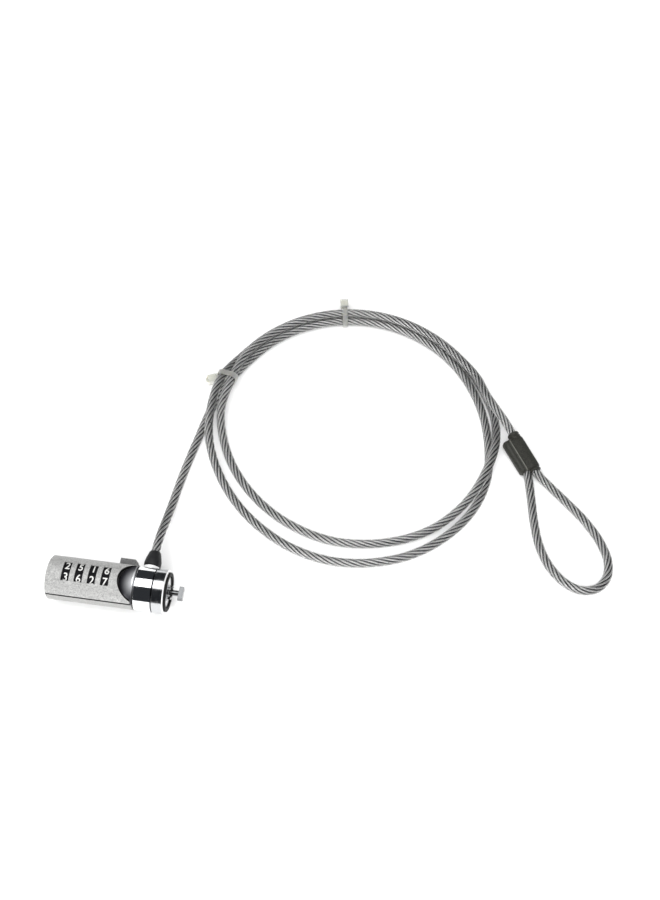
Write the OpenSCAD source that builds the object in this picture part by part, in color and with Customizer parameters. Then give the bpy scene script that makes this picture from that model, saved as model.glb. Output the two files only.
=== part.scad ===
// Cable lock for a laptop: a four-dial combination head with a turning
// T-bar nose, on a swivel collar that anchors a vinyl-covered steel cable.
// The lock's axis is X, with the nose towards +X. The origin is the centre
// of the seat face, which bears on the computer. The head lies on a table
// at z = -body_r, and the cable lies on the same table.

/* [Head] */
// Outside diameter of the head
body_d = 20; // [19.5:0.1:21]
// Length of the head behind the seat face
head_len = 54.8; // [54.6:0.1:57]
// Height of the seam between the cover and the housing above the axis
seam_z = 2.6; // [2.6:0.1:3]
// Radius of the round scoop in the cover's front edge
scoop_r = 9.1; // [8.5:0.1:9.5]
// Distance from the seat face to the centre of the scoop
scoop_x = 13.3; // [12.7:0.1:13.7]

/* [Dials] */
// Distance from one dial to the next
dial_pitch = 6; // [5.9:0.05:6.1]
// Outside diameter of a dial
dial_d = 17.5; // [17:0.1:17.6]
// Width of a dial
dial_w = 4.9; // [4.6:0.1:5]
// Width of a window in the cover
window_w = 3.7; // [3:0.1:4.2]
// Length of a window across the cover
window_len = 9; // [7:0.5:10]

/* [Nose] */
// Length of the swivel collar
collar_len = 8.2; // [8:0.1:8.4]
// Width of the T-bar's head
t_head_w = 6.6; // [6:0.1:6.8]
// Thickness of the T-bar's head across its width
t_head_t = 2.8; // [2.4:0.1:2.9]
// Distance from the seat face to the tip of the T-bar
t_reach = 6.5; // [5.5:0.1:6.8]
// Length of the guide pins in front of the seat face
pin_reach = 1.5; // [1:0.1:1.8]

/* [Button] */
// Travel of the release button
button_travel = 2.51; // [2.3:0.01:2.52]
// Height of the release button
button_h = 5; // [4:0.1:5]
// Distance from the axis to the outer face of the button
button_reach = 12.65; // [12.6:0.05:13]

/* [Cable] */
// Outside diameter of the covered cable
cable_d = 4.2; // [4:0.1:4.2]
// Width of the nylon ties' straps
tie_w = 2.6; // [2:0.1:3.5]

/* [Hidden] */
$fn = 64;

eps = 0.01;
body_r = body_d / 2;
rear_x = -head_len;
rear_chamfer = 0.6;
plate_x0 = rear_x + 0.6;    // back of the rear plate
plate_x1 = rear_x + 2.6;    // front of the rear plate
chamber_rear_x = -48.6;
bulkhead_x = -24.8;         // front wall of the dial chamber
neck_front_x = -15.1;       // front face of the housing's neck

// The dial stack sits a little above the axis, close under the windows.
stack_z = 0.45;
dial_r = dial_d / 2;
chamber_r = 8.9;
front_dial_x = bulkhead_x - 3;
dial_x = [for (k = [3:-1:0]) front_dial_x - k * dial_pitch];    // dial 1 is at the rear
digit_step = 36;
core_r = 3.2;
core_bore_r = 2.3;
core_rear_x = plate_x1 - 0.5;
core_front_x = -24.35;
spindle_r = 2.2;
spindle_rear_x = -46.9;
spindle_bore_x = spindle_rear_x + 4.5;
fin_reach = 4.3;
ring_r = 5.95;              // code ring
dial_bore_r = 6;
gate_r = 4.7;
web_t = 1;
fin_t = 0.8;

// The journal carries the swivel collar, between the neck and the front cap.
journal_r = 7;
journal_bore_r = 5.6;
journal_end_x = -2.7;
collar_rear_x = -14.6;
collar_front_x = collar_rear_x + collar_len;
collar_bore_r = 7.08;
cap_rear_x = collar_front_x + 0.1;
stub_x = -10.4;             // axis of the cable's stub
stub_r = 3.9;
stub_end_y = 10.55;         // the boot starts here

// The nose: block, T-bar and guide pins.
nose_r = 5.5;
boss_r = 4;
t_shaft_r = 1.3;
t_bore_r = 1.38;
t_neck_r = 1;
t_head_x = 4.3;
clip_x = -13.85;
pin_y = 2.55;
pin_r = 0.75;
pin_rear_x = -7.2;
cap_face_x = -1;
cap_pin_x = -4.5;
cap_pin_r = 0.6;
washer_front_x = -6.05;
pad_in = 7.2;
pad_out = 8.9;
pad_rear_x = -1.75;

// Eight-leaf pinion on the T-bar and its rack on the button.
pinion_teeth = 8;
pinion_r = 1.6;
tooth_pitch = 2 * PI * pinion_r / pinion_teeth;
pinion_x0 = -18.5;
pinion_w = 1.8;

// The 45 degree wedge that moves the spindle lies on the line x + y = wedge_sum.
wedge_sum = -21.8;
fin_lead = 1.25;            // the fins stand this far in front of their webs

// Room for the button inside the neck.
room = [[-23.5, -6.3, -6.2], [-16.5, 7.2, 3.3]];
slot_x0 = -24.9;
slot_x1 = -16.3;
button_x0 = -24.8;
button_x1 = -16.4;
flange_x0 = room[0][0] + 0.2;
flange_x1 = room[1][0] - 0.2;

// ---- helpers -------------------------------------------------------------

// Turns a shape built along Z so that it lies along X.
module along_x() { rotate([0, 90, 0]) children(); }

// Solid of revolution about X from [x, radius] points.
module revolve_x(points) {
    along_x() rotate_extrude() polygon([for (p = points) [p[1], p[0]]]);
}

// Ring about X between two x positions.
module ring_x(x0, x1, ro, ri) {
    revolve_x([[x0, ri], [x1, ri], [x1, ro], [x0, ro]]);
}

// Cylinder along X between two x positions, on the axis at height z.
module rod_x(x0, x1, r, z = 0) {
    translate([x0, 0, z]) along_x() cylinder(r = r, h = x1 - x0);
}

// Cylinder along Y between two y positions.
module rod_y(x, y0, y1, r, z = 0) {
    translate([x, y0, z]) rotate([-90, 0, 0]) cylinder(r = r, h = y1 - y0);
}

// Box between two opposite corners.
module box(a, b) { translate(a) cube(b - a); }

// Moves to the dial stack's axis.
module on_stack() { translate([0, 0, stack_z]) children(); }

// Copies round the X axis, at the given angles from +Y towards +Z.
module round_x(angles) {
    for (a = angles) rotate([a, 0, 0]) children();
}

// ---- swept tubes ---------------------------------------------------------

function unit(v) = v / norm(v);
function last(list) = len(list) - 1;
function tangent(p, i) = unit(p[min(i + 1, last(p))] - p[max(i - 1, 0)]);
// Two directions across the path: level, and at right angles to both.
function level_side(t) = unit([t[1], -t[0], 0]);
function tube_ring(p, i, r, sides) =
    let (t = tangent(p, i), u = level_side(t), v = cross(t, u))
    [for (k = [0:sides - 1]) let (a = 360 * (k + 0.5) / sides)
        p[i] + r * (cos(a) * u + sin(a) * v)];

// One closed tube along a path, with flat ends.
module swept_tube(path, r, sides) {
    n = len(path);
    points = [for (i = [0:n - 1]) each tube_ring(path, i, r, sides)];
    walls = [for (i = [0:n - 2]) for (k = [0:sides - 1])
        let (a = i * sides + k, b = i * sides + (k + 1) % sides)
        each [[a, b, a + sides], [b, b + sides, a + sides]]];
    start = [[for (k = [sides - 1:-1:0]) k]];
    end = [[for (k = [0:sides - 1]) (n - 1) * sides + k]];
    polyhedron(points = points, faces = concat(start, walls, end), convexity = 10);
}

// Coil spring along Z, from 0 to length.
module coil_spring(length, r, wire_r, turns) {
    steps = 12;
    n = turns * steps;
    swept_tube([for (i = [0:n]) let (a = 360 * i / steps)
        [r * cos(a), r * sin(a), wire_r + (length - 2 * wire_r) * i / n]], wire_r, 6);
}

// ---- the cable's route ---------------------------------------------------

cable_r = cable_d / 2;
table_z = -body_r;
floor_z = table_z + cable_r;    // centre of a cable that lies on the table
bore_play = 0.05;
// From the crimp in the stub, out along +Y and down to the table.
LEAD = [[-10.4, 8.8, 0], [-10.4, 20, 0], [-10.3, 28, -1.4], [-9.9, 37, -4.2],
    [-9.4, 47, -6.9], [-8.5, 58, -7.9], [-6.8, 71, -7.9], [-4.4, 85.5, -7.9]];
// The ring of two and a half turns: [clockwise angle from the left, radius, rise].
ring_centre = [68.8, 101];
ring_step = 15;
ring_end = 870;
COIL = [[0, 70.5, 0], [15, 67, 0.9], [30, 65, 0.9], [120, 65, 0.9], [150, 65.6, 0],
    [165, 66.4, 0], [180, 68.2, 0], [195, 71.4, 0], [210, 73.2, 0], [225, 73.6, 0],
    [240, 73.5, 0], [270, 71.8, 0], [300, 69, 0], [315, 68.4, 0.4], [330, 68.6, 2],
    [345, 69.3, 4], [360, 69.6, 4.6], [375, 70.2, 4.4], [390, 69.7, 0.9],
    [480, 69.7, 0.9], [510, 70.4, 0], [525, 71.6, 0.3], [540, 71.4, 3.8],
    [555, 70, 4.8], [570, 69, 3.4], [585, 67.2, 0.8], [600, 64.9, 0],
    [615, 62.9, 0], [630, 61.6, 0], [645, 60.2, 0], [660, 59.5, 0], [675, 59.6, 0],
    [690, 60.6, 0], [705, 62.4, 0.6], [720, 64.6, 3.4], [735, 64.8, 5.3],
    [750, 66.8, 5.1], [765, 67.3, 4.6], [840, 67.3, 4.6], [855, 67.6, 4.5],
    [870, 69.5, 4.5]];
// From the ring down to the sleeve.
EXIT = [[132.8, 128.2, -2.8], [138.7, 119.5, -2.4], [143.8, 114.1, -4.3]];
// Where the main cable enters and leaves the sleeve.
sleeve_in = [148.2, 108.8, -6.8];
sleeve_out = [160.6, 89.4, -6.8];
// The eye, from the sleeve round and back to it.
EYE = [[163, 86.7, -7], [167.8, 82.6, -7.7], [176.8, 74.6, -7.9], [186.1, 65.4, -7.9],
    [193.1, 55.6, -7.9], [196.5, 47.5, -7.9], [196.5, 39.2, -7.9], [192.4, 32.9, -7.9],
    [185.2, 30.7, -7.9], [177, 33.6, -7.9], [170, 40.4, -7.9], [164.8, 50, -7.9],
    [161.6, 62, -7.9],
    [159.5, 74, -7.6], [157.7, 83.4, -6.9]];

sleeve_dir = unit(sleeve_out - sleeve_in);
sleeve_side = [-sleeve_dir[1], sleeve_dir[0], 0];
barrel_gap = 4.4;
sleeve_len = norm(sleeve_out - sleeve_in);
nub_len = 3;
lip_len = 1.2;
tail_len = 13;
tail_mouth = sleeve_out - barrel_gap * sleeve_side;
tail_end = tail_mouth - tail_len * sleeve_dir;

function coil_col(k) = [for (c = COIL) [c[0], c[k]]];
function coil_point(a) =
    let (r = lookup(a, coil_col(1)), rise = lookup(a, coil_col(2)))
    [ring_centre[0] - r * cos(a), ring_centre[1] + r * sin(a), floor_z + rise];
ROUTE = concat(LEAD, [for (a = [0:ring_step:ring_end]) coil_point(a)], EXIT,
    [sleeve_in, sleeve_out], EYE, [tail_mouth, tail_end]);

// ---- housing -------------------------------------------------------------

// Outer shape of the head behind the collar.
module head_outline() {
    revolve_x([[rear_x, 0], [rear_x, body_r - rear_chamfer],
        [rear_x + rear_chamfer, body_r], [neck_front_x - 0.2, body_r],
        [neck_front_x, body_r - 0.2], [neck_front_x, 0]]);
}

// The neck above the seam: slim under the cover, and a cove that is centred on the
// scoop's axis and sweeps up to a narrow rim beside the collar.
neck_r = 8.7;
cove_r = scoop_r - 0.4;
cove_edge_z = 6;
cove_slope = 0.33;
cove_curl = 0.0083;
rim_x = neck_front_x - 0.65;
function cove_z(r) = let (t = cove_r - r) cove_edge_z + cove_slope * t + cove_curl * pow(t, 3);
module neck_outline() {
    intersection() {
        head_outline();
        union() {
            difference() {
                rod_x(bulkhead_x, neck_front_x + 1, neck_r);
                translate([-scoop_x, 0, 0]) cylinder(r = cove_r, h = 20);
                box([-scoop_x, -20, 0], [0, 20, 20]);
            }
            translate([-scoop_x, 0, 0]) rotate_extrude()
                polygon(concat([[0, -2]], [for (i = [0:9]) [cove_r * i / 9, cove_z(cove_r * i / 9)]],
                    [[cove_r, -2]]));
            rod_x(rim_x, neck_front_x + 1, body_r + 1);
        }
        box([bulkhead_x, -15, -15], [neck_front_x + 1, 15, 15]);
    }
}

screw_y = 6.2;
screw_z = -3.2;
head_sink = 0.9;            // depth of the screw heads in the rear plate
module rear_screw_axes() {
    for (s = [-1, 1]) translate([0, s * screw_y, screw_z]) children();
}

// Seat of the comb spring, along the bottom of the chamber.
module spring_trough() {
    on_stack() box([chamber_rear_x - 2.8, -2.1, -9.4], [bulkhead_x - 0.2, 2.1, -8]);
}

// Hole for the cap's pin, from the underside up to the axis.
module cap_pin_hole(depth) {
    translate([cap_pin_x, 0, -depth]) cylinder(r = cap_pin_r + 0.02, h = depth);
}

module base_housing() {
    color([0.82, 0.83, 0.85]) difference() {
        union() {
            intersection() {
                head_outline();
                box([rear_x - 1, -15, -15], [neck_front_x + 1, 15, seam_z]);
            }
            neck_outline();
            ring_x(neck_front_x - 1, journal_end_x, journal_r, journal_bore_r - 1);
        }
        // Dial chamber, open at the rear, with a thicker collar behind the dials.
        on_stack() rod_x(chamber_rear_x, bulkhead_x, chamber_r);
        on_stack() rod_x(rear_x - 1, plate_x1, chamber_r);
        on_stack() rod_x(plate_x1 - 0.1, chamber_rear_x + 0.1, 4.6);
        spring_trough();
        on_stack() rod_x(bulkhead_x - 1, core_front_x + bore_play, core_r + bore_play);
        on_stack() rod_x(core_front_x - 0.1, room[0][0] + 1, spindle_r + 0.1);
        // Room and slot for the button, and the bores towards the nose.
        box(room[0], room[1]);
        box([slot_x0, room[1][1] - 0.1, -button_h / 2 - 0.1], [slot_x1, 15, seam_z + 0.1]);
        rod_x(room[1][0] - 1, neck_front_x + 1, pinion_r + 0.7);
        rod_x(neck_front_x, journal_end_x + 1, journal_bore_r);
        cap_pin_hole(12);
        rear_screw_axes() rod_x(plate_x1 - 0.6, plate_x1 + 2.6, 0.8);
    }
}

module top_cover() {
    wall_in = 8.9;
    groove_r = 9.1;
    groove_h = 0.6;
    color([0.78, 0.79, 0.8]) difference() {
        intersection() {
            head_outline();
            box([rear_x - 1, -15, seam_z], [neck_front_x - 0.7, 15, 15]);
        }
        on_stack() rod_x(rear_x - 1, front_dial_x + dial_w / 2 + 0.5, wall_in);
        rod_x(bulkhead_x - 0.7, 0, wall_in);
        // Shadow groove along the seam.
        for (s = [0, 1]) mirror([0, s, 0])
            box([rear_x - 1, groove_r, seam_z - 1], [0, 12, seam_z + groove_h]);
        // Scooped front edge.
        translate([-scoop_x, 0, 0]) cylinder(r = scoop_r, h = 20);
        box([-scoop_x, -20, 0], [0, 20, 20]);
        for (x = dial_x)
            box([x - window_w / 2, -window_len / 2, 4], [x + window_w / 2, window_len / 2, 15]);
    }
}

module rear_plate() {
    color([0.5, 0.5, 0.52]) difference() {
        on_stack() rod_x(plate_x0, plate_x1, chamber_r - 0.05);
        on_stack() rod_x(rear_x, plate_x0 + head_sink, 2.5);
        on_stack() rod_x(rear_x, plate_x1 + 1, 1.6);
        on_stack() rod_x(core_rear_x, plate_x1 + 1, core_r + bore_play);
        rear_screw_axes() rod_x(rear_x, plate_x1 + 1, 0.85);
        rear_screw_axes() rod_x(rear_x, plate_x0 + head_sink, 1.65);
    }
}

module rear_screws() {
    color([0.35, 0.35, 0.36]) rear_screw_axes() difference() {
        union() {
            rod_x(plate_x0, plate_x0 + head_sink, 1.55);
            rod_x(plate_x0 + head_sink - 0.1, plate_x1 + 2.4, 0.75);
        }
        rod_x(rear_x, plate_x0 + 0.5, 0.7, $fn = 6);
    }
}

module core_tube() {
    color([0.7, 0.6, 0.35]) on_stack() difference() {
        ring_x(core_rear_x, core_front_x, core_r, core_bore_r);
        box([chamber_rear_x + 0.5, -0.7, 0], [bulkhead_x - 0.9, 0.7, 5]);
    }
}

module dial_spacers() {
    color([0.6, 0.6, 0.62]) on_stack() for (k = [0:2]) difference() {
        x = dial_x[k] + dial_pitch / 2;
        ring_x(x - 0.35, x + 0.35, 8.6, core_r + bore_play);
        box([x - 1, -0.8, 0], [x + 1, 0.8, gate_r]);
    }
}

// Comb of four spring fingers, each with a bump in a dial's notch.
module detent_spring() {
    color([0.75, 0.75, 0.78]) on_stack() {
        difference() {
            box([chamber_rear_x - 2.3, -1.9, -9.35], [bulkhead_x - 0.7, 1.9, -9.1]);
            for (x = dial_x) for (s = [0, 1]) mirror([0, s, 0])
                box([x - 1.8, 1, -10], [x + 1.8, 1.3, -9]);
        }
        for (x = dial_x) intersection() {
            rod_x(x - 1.2, x + 1.2, 0.45, -9);
            box([x - 2, -1, -9.11], [x + 2, 1, -8]);
        }
    }
}

// ---- dials ---------------------------------------------------------------

module dial(k) {
    // The notches lie between the digits, and two digits show in each window.
    steps = [for (i = [0:9]) i * digit_step];
    color([0.08, 0.08, 0.09]) translate([dial_x[k], 0, stack_z]) difference() {
        revolve_x([[-dial_w / 2, dial_bore_r], [dial_w / 2, dial_bore_r],
            [dial_w / 2, dial_r - 0.3], [dial_w / 2 - 0.3, dial_r],
            [0.3 - dial_w / 2, dial_r], [-dial_w / 2, dial_r - 0.3]]);
        round_x(steps) rod_x(-5, 5, 0.6, dial_r + 0.25, $fn = 24);
        round_x(steps) rod_x(-5, 5, 0.4, dial_bore_r, $fn = 24);
    }
}

module code_ring(k) {
    color([0.72, 0.58, 0.3]) translate([dial_x[k], 0, stack_z]) difference() {
        union() {
            ring_x(-dial_w / 2, dial_w / 2, ring_r, gate_r);
            ring_x(-web_t / 2, web_t / 2, gate_r + 0.1, core_r + 0.08);
            round_x([0, 180]) rod_x(-dial_w / 2, dial_w / 2, 0.33, ring_r, $fn = 24);
        }
        box([-web_t, -0.75, 0], [web_t, 0.75, gate_r]);
    }
}

// ---- locking works -------------------------------------------------------

module spindle() {
    color([0.75, 0.75, 0.77]) on_stack() difference() {
        union() {
            rod_x(spindle_rear_x, wedge_sum + 3.6, spindle_r);
            for (x = dial_x) box([x + fin_lead - fin_t / 2, -0.55, 0],
                [x + fin_lead + fin_t / 2, 0.55, fin_reach]);
        }
        // Slanted tip for the button's wedge.
        translate([wedge_sum, 0, 0]) rotate([0, 0, 45]) box([0, -10, -5], [10, 10, 5]);
        rod_x(spindle_rear_x - 1, spindle_bore_x, 1.6);
    }
}

module spindle_spring() {
    start = plate_x1 + 1.35;
    color([0.8, 0.8, 0.82]) translate([start, 0, stack_z]) along_x()
        coil_spring(spindle_bore_x - 0.05 - start, 1.25, 0.18, 8);
}

module change_screw() {
    color([0.66, 0.56, 0.32]) on_stack() difference() {
        union() {
            rod_x(plate_x0 + 0.1, plate_x0 + 0.85, 2.4);
            rod_x(plate_x0 + 0.8, plate_x1 + 1, 1.5);
            rod_x(plate_x1 + 0.1, plate_x1 + 1.2, core_bore_r - 0.1);
        }
        box([rear_x, -3, -0.35], [plate_x0 + 0.5, 3, 0.35]);
    }
}

// Rack tooth outline, pointing towards -Z, centred on y = 0.
module rack_tooth() {
    polygon([[-0.4, 0.5], [-0.17, -0.35], [0.17, -0.35], [0.4, 0.5]]);
}

module rack() {
    teeth = 4;
    translate([pinion_x0, 0, pinion_r]) {
        translate([pinion_w, 0, 0]) rotate([90, 0, -90]) linear_extrude(pinion_w)
            for (i = [0:teeth - 1])
                translate([-tooth_pitch * (i - 0.5), 0]) rack_tooth();
        box([0, -1.6, 0.45], [pinion_w, 6, 1.6]);
    }
}

module wedge() {
    gap = 0.1;
    difference() {
        box([flange_x0, -5, -1.2], [flange_x0 + 3.9, 6, 2.1]);
        translate([wedge_sum + gap, 0, 0]) rotate([0, 0, 45]) box([-20, -20, -5], [0, 20, 5]);
    }
}

module release_button() {
    flange_y = 5.9;
    color([0.74, 0.75, 0.76]) {
        difference() {
            box([button_x0, 9.75, -button_h / 2], [button_x1, button_reach, button_h / 2]);
            translate([button_x1, button_reach, 0]) rotate([0, 0, 45])
                cube([2.2, 5, 10], center = true);
        }
        box([flange_x0, 7, -button_h / 2], [flange_x1, 9.8, button_h / 2]);
        box([flange_x0, flange_y, -6], [flange_x1, 7.1, 3.1]);
        rack();
        wedge();
    }
}

module button_spring() {
    seat = [-20.2, room[0][1] + 0.05, -4.4];
    color([0.8, 0.8, 0.82]) translate(seat) rotate([-90, 0, 0])
        coil_spring(12.1, 1.2, 0.2, 8);
}

// One leaf of the pinion, pointing towards +Z.
module pinion_leaf() {
    polygon([[-0.36, 0.8], [-0.2, 1.6], [-0.08, 1.95], [0.08, 1.95], [0.2, 1.6], [0.36, 0.8]]);
}

module t_bar() {
    color([0.85, 0.86, 0.88]) {
        difference() {
            rod_x(pinion_x0 + pinion_w - eps, t_head_x + eps, t_shaft_r);
            ring_x(clip_x, clip_x + 0.5, 3, t_neck_r);
        }
        rod_x(pinion_x0 - 0.6, pinion_x0 + pinion_w, 0.9);
        for (i = [0:pinion_teeth - 1]) rotate([i * 360 / pinion_teeth, 0, 0])
            translate([pinion_x0, 0, 0]) rotate([90, 0, 90]) linear_extrude(pinion_w)
                pinion_leaf();
        difference() {
            intersection() {
                rod_x(t_head_x, t_reach, t_head_w / 2);
                box([0, -5, -t_head_t / 2], [10, 5, t_head_t / 2]);
            }
            // Bevelled ends, so that the head finds the slot.
            for (s = [0, 1]) mirror([0, s, 0]) translate([t_reach, t_head_w / 2, 0])
                rotate([0, 0, 45]) cube([0.8, 3, 6], center = true);
        }
    }
}

module t_bar_clip() {
    color([0.3, 0.3, 0.32]) difference() {
        ring_x(clip_x + 0.05, clip_x + 0.45, 2.6, t_neck_r);
        box([clip_x, -0.7, -4], [clip_x + 1, 0.7, 0]);
    }
}

module nose_block() {
    block_rear_x = clip_x + 0.65;
    color([0.55, 0.56, 0.58]) difference() {
        union() {
            rod_x(block_rear_x, journal_end_x - 0.05, nose_r);
            rod_x(journal_end_x - 1, cap_face_x + 0.1, boss_r);
        }
        rod_x(block_rear_x - 1, 1, t_bore_r);
        for (s = [-1, 1]) translate([0, s * pin_y, 0]) rod_x(pin_rear_x, 1, pin_r);
        translate([0, 0, -4.4]) cap_pin_hole(2);
    }
}

module guide_pins() {
    tip = 0.3;
    color([0.88, 0.88, 0.9]) for (s = [-1, 1]) translate([0, s * pin_y, 0])
        revolve_x([[pin_rear_x, 0], [pin_rear_x, pin_r], [pin_reach - tip, pin_r],
            [pin_reach, pin_r - tip], [pin_reach, 0]]);
}

module front_cap() {
    color([0.85, 0.86, 0.88]) difference() {
        revolve_x([[cap_rear_x, journal_r + 0.02], [cap_rear_x, body_r - 0.2],
            [cap_rear_x + 0.2, body_r], [cap_face_x - 0.4, body_r], [cap_face_x, body_r - 0.4],
            [cap_face_x, boss_r + 0.1], [journal_end_x + 0.05, boss_r + 0.1],
            [journal_end_x + 0.05, journal_r + 0.02]]);
        ring_x(pad_rear_x - 0.05, 1, pad_out + 0.05, pad_in - 0.05);
        ring_x(cap_rear_x - 1, washer_front_x + 0.05, 8.6, 6);
        cap_pin_hole(12);
    }
}

module front_pad() {
    bevel = 0.15;
    color([0.06, 0.06, 0.06]) revolve_x([[pad_rear_x, pad_in], [pad_rear_x, pad_out],
        [-bevel, pad_out], [0, pad_out - bevel], [0, pad_in + bevel], [-bevel, pad_in]]);
}

module cap_pin() {
    color([0.6, 0.6, 0.62]) translate([cap_pin_x, 0, -9.8]) cylinder(r = cap_pin_r, h = 4.7);
}

module swivel_washer() {
    color([0.9, 0.9, 0.88]) ring_x(cap_rear_x, washer_front_x, 8.5, journal_r + 0.05);
}

// ---- cable end -----------------------------------------------------------

module swivel_collar() {
    bevel = 0.25;
    color([0.85, 0.86, 0.88]) difference() {
        union() {
            revolve_x([[collar_rear_x, 5], [collar_rear_x, body_r - bevel],
                [collar_rear_x + bevel, body_r], [collar_front_x - bevel, body_r],
                [collar_front_x, body_r - bevel], [collar_front_x, 5]]);
            rod_y(stub_x, 8, stub_end_y, stub_r);
        }
        rod_x(-20, 0, collar_bore_r);
        rod_y(stub_x, 5, 12, 2.6);
        rod_y(stub_x, 5, 8.4, 3.2);
    }
}

module cable_crimp() {
    color([0.7, 0.7, 0.72]) difference() {
        union() {
            rod_y(stub_x, 7.6, 8.35, 3.1);
            rod_y(stub_x, 8, stub_end_y + 0.85, 2.55);
        }
        rod_y(stub_x, 8.75, 13, cable_r + bore_play);
    }
}

module cable_boot() {
    color([0.07, 0.07, 0.08]) translate([stub_x, stub_end_y, 0]) rotate([-90, 0, 0]) difference() {
        rotate_extrude() polygon([[0, 0], [3.4, 0], [3.75, 0.5], [3.95, 1.5], [3.9, 2.9],
            [3.55, 4.6], [3.1, 6.2], [2.8, 7.3], [2.5, 7.85], [0, 7.85]]);
        translate([0, 0, -1]) cylinder(r = 2.6, h = 1.9);
        cylinder(r = cable_r + bore_play, h = 20);
    }
}

module cable() {
    color([0.6, 0.61, 0.62]) swept_tube(ROUTE, cable_r, 8);
}

// Places a shape built along +X on the sleeve's axis, with +Y across the barrels.
module on_sleeve() {
    heading = atan2(sleeve_dir[1], sleeve_dir[0]);
    translate(sleeve_in) rotate([0, 0, heading]) children();
}

module loop_ferrule() {
    barrel_r = 3.2;
    nub_r = 2.95;
    edge = 0.4;
    body_end = sleeve_len - lip_len;
    color([0.1, 0.1, 0.1]) on_sleeve() difference() {
        union() {
            for (y = [0, -barrel_gap]) translate([0, y, 0]) {
                rod_x(nub_len + edge, body_end - edge, barrel_r);
                rod_x(nub_len, body_end, barrel_r - edge);
            }
            box([nub_len + edge, -barrel_gap, -barrel_r], [body_end - edge, 0, barrel_r]);
            rod_x(0.5, nub_len + 1, nub_r);
            rod_x(body_end - 1, sleeve_len, nub_r);
        }
        rod_x(-1, sleeve_len + 1, cable_r + bore_play);
        translate([0, -barrel_gap, 0])
            rod_x(sleeve_len - tail_len - 0.1, sleeve_len + 1, cable_r + bore_play);
    }
}

// Nylon tie round the strands at a clockwise angle from the left of the ring. Its head
// lies outside the ring, turned about the vertical by head_turn and lower by head_drop.
tie_t = 0.7;
tie_gap = 0.15;
tie_head = [5.2, 3.6, 4.2];
module bundle(grow, strands) {
    hull() for (s = strands) translate(s) circle(r = cable_r + grow, $fn = 32);
}
module cable_tie(angle, head_turn, head_drop) {
    strands = [for (turn = [0:2]) let (a = angle + 360 * turn)
        [lookup(a, coil_col(1)), floor_z + lookup(a, coil_col(2))]];
    outer = strands[1];
    foot = [outer[0] + cable_r + tie_gap + 0.15, outer[1] - tie_head[1] / 2, 0];
    tail = [tie_head[0] + 0.8, 1.2];
    head_start = head_drop > 0 ? 1.6 : 1;
    color([0.9, 0.9, 0.82, 0.6]) translate([ring_centre[0], ring_centre[1], 0])
        rotate([0, 0, 180 - angle]) rotate([90, 0, 0]) {
            translate([0, 0, -tie_w / 2]) linear_extrude(tie_w) difference() {
                bundle(tie_gap + tie_t, strands);
                bundle(tie_gap, strands);
            }
            hull() {
                translate(foot - [0, 0, tie_w / 2]) cube([0.4, tie_head[1], tie_w]);
                translate(foot - [0, head_drop, 0]) rotate([0, head_turn, 0])
                    translate([head_start, 0, -tie_head[2] / 2]) cube(tie_head);
            }
            translate(foot - [0, head_drop, 0]) rotate([0, head_turn, 0])
                translate([tail[0], tail[1], -tie_w / 2]) cube([1.4, 1, tie_w]);
        }
}
module cable_tie_top() { cable_tie(80, 0, 0); }
module cable_tie_side() { cable_tie(17, 42, 4.1); }

// ---- the nodes -----------------------------------------------------------

base_housing();
top_cover();
rear_plate();
rear_screws();
core_tube();
dial_spacers();
detent_spring();
nose_block();
guide_pins();
front_cap();
front_pad();
cap_pin();
swivel_washer();
button_spring();
spindle_spring();
dial(0);  // dial_1
dial(1);  // dial_2
dial(2);  // dial_3
dial(3);  // dial_4
code_ring(0);  // code_ring_1
code_ring(1);  // code_ring_2
code_ring(2);  // code_ring_3
code_ring(3);  // code_ring_4
spindle();
release_button();
t_bar();
t_bar_clip();
change_screw();
swivel_collar();
cable_crimp();
cable_boot();
cable();
loop_ferrule();
cable_tie_top();
cable_tie_side();
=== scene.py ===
import math

import bmesh
import bpy
import numpy as np
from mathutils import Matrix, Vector


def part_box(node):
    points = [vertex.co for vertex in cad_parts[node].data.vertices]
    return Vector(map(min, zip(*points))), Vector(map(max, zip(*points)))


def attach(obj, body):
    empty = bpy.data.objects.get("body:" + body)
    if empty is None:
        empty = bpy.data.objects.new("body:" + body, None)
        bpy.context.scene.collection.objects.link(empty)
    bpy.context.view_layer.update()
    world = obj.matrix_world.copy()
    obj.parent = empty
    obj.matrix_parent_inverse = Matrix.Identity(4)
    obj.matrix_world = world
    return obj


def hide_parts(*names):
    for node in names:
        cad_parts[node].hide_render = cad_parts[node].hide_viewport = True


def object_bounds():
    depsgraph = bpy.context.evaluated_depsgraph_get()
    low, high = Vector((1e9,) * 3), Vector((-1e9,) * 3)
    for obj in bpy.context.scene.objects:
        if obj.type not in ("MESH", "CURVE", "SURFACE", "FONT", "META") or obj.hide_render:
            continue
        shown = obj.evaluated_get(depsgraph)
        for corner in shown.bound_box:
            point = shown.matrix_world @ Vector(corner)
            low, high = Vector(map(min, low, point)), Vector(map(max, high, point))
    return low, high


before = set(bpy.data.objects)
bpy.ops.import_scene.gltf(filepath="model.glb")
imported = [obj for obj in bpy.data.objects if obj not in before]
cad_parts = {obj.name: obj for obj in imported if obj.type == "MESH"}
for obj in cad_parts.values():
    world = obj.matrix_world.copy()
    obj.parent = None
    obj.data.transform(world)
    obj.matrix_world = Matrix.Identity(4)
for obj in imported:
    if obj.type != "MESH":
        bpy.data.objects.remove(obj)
cad_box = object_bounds()

MM = 0.001
TABLE_Z = cad_box[0][2]


# ---- camera ----------------------------------------------------------------


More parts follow.
